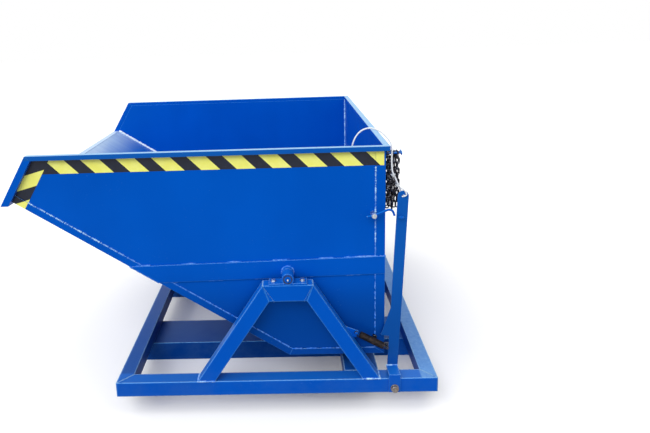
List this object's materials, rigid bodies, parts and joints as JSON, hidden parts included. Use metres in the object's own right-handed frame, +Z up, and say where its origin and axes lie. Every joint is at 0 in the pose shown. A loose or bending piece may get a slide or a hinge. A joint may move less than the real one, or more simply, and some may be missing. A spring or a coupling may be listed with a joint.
{
  "type": "tipping skip",
  "caption": "Blue steel tipping hopper between two A-frames on a fork-pocket base, with a sprung latch lever, safety hook, release rope and hazard tape.",
  "frame": {"origin": "middle of the whole part's length and width, on the floor", "axes": "+X from the pouring lip to the rear, +Y from the latch side to the far side, +Z up"},
  "size_m": [1.9508, 1.9358, 1.3262],
  "materials": {
    "blue_paint": "gloss enamel, sprayed, worn pale on the rim and slope",
    "bearing_bush": "dark, greased",
    "zinc_steel": "zinc plated",
    "bolt_steel": "dull, worn",
    "spring_steel": "dark oiled",
    "chain_steel": "dark, dull",
    "rope_wire": "galvanised wire rope",
    "rubber": "matt",
    "hazard_tape": "yellow and black stripes, satin"
  },
  "bodies": {
    "base": {"side_rail_near": "blue_paint", "side_rail_far": "blue_paint", "front_rail": "blue_paint", "rear_rail": "blue_paint", "fork_pocket_near": "blue_paint", "fork_pocket_far": "blue_paint", "rear_tie": "blue_paint", "rest_posts": "blue_paint", "rest_pads": "rubber", "leg_front_near": "blue_paint", "leg_front_far": "blue_paint", "leg_rear_near": "blue_paint", "leg_rear_far": "blue_paint", "top_rail_near": "blue_paint", "top_rail_far": "blue_paint", "bearing_near": "blue_paint", "bearing_far": "blue_paint", "bush_near": "bearing_bush", "bush_far": "bearing_bush", "bearing_bolts": "zinc_steel", "latch_bolt": "bolt_steel", "latch_nut": "bolt_steel", "spring_lug": "blue_paint"},
    "hopper": {"slope_plate": "blue_paint", "floor_plate": "blue_paint", "rear_wall": "blue_paint", "side_wall_near": "blue_paint", "side_wall_far": "blue_paint", "rim_near": "blue_paint", "rim_far": "blue_paint", "rim_rear": "blue_paint", "lip_bar_near": "blue_paint", "lip_bar_far": "blue_paint", "lip_edge": "blue_paint", "side_beam_near": "blue_paint", "side_beam_far": "blue_paint", "trunnion_near": "blue_paint", "trunnion_far": "blue_paint", "grease_nipples": "zinc_steel", "hazard_tape_near": "hazard_tape", "hazard_tape_far": "hazard_tape", "catch_pin": "blue_paint", "hook_bolt": "bolt_steel", "release_rope": "rope_wire", "rope_coil": "rope_wire", "rope_ferrule": "zinc_steel", "pull_ring": "zinc_steel", "chain_hanger": "blue_paint", "safety_chain": "chain_steel", "chain_hook": "chain_steel"},
    "lever": {"lever_bar": "blue_paint", "lever_tooth": "blue_paint", "lever_saddle": "blue_paint", "spring_stud": "zinc_steel", "hook_eye": "blue_paint", "rope_eye": "rope_wire", "rope_clips": "zinc_steel", "latch_spring": "spring_steel"},
    "hook": {"safety_hook": "blue_paint"}
  },
  "joints": [
    {"name": "hopper_tip", "type": "hinge", "parent": "base", "child": "hopper", "pos_m": [0.30043, 0, 0.67], "axis": [0, -1, 0], "range_deg": [0, 41]},
    {"name": "latch_lever", "type": "hinge", "parent": "base", "child": "lever", "pos_m": [0.77643, -0.8755, 0.127], "axis": [0, 1, 0], "range_deg": [-2.5, 12], "stiffness_Nm_per_rad": 68, "deforming": ["latch_spring"]},
    {"name": "safety_hook", "type": "hinge", "parent": "hopper", "child": "hook", "pos_m": [0.68843, -0.8935, 0.939], "axis": [0, -1, 0], "range_deg": [-19, 100]}
  ]
}
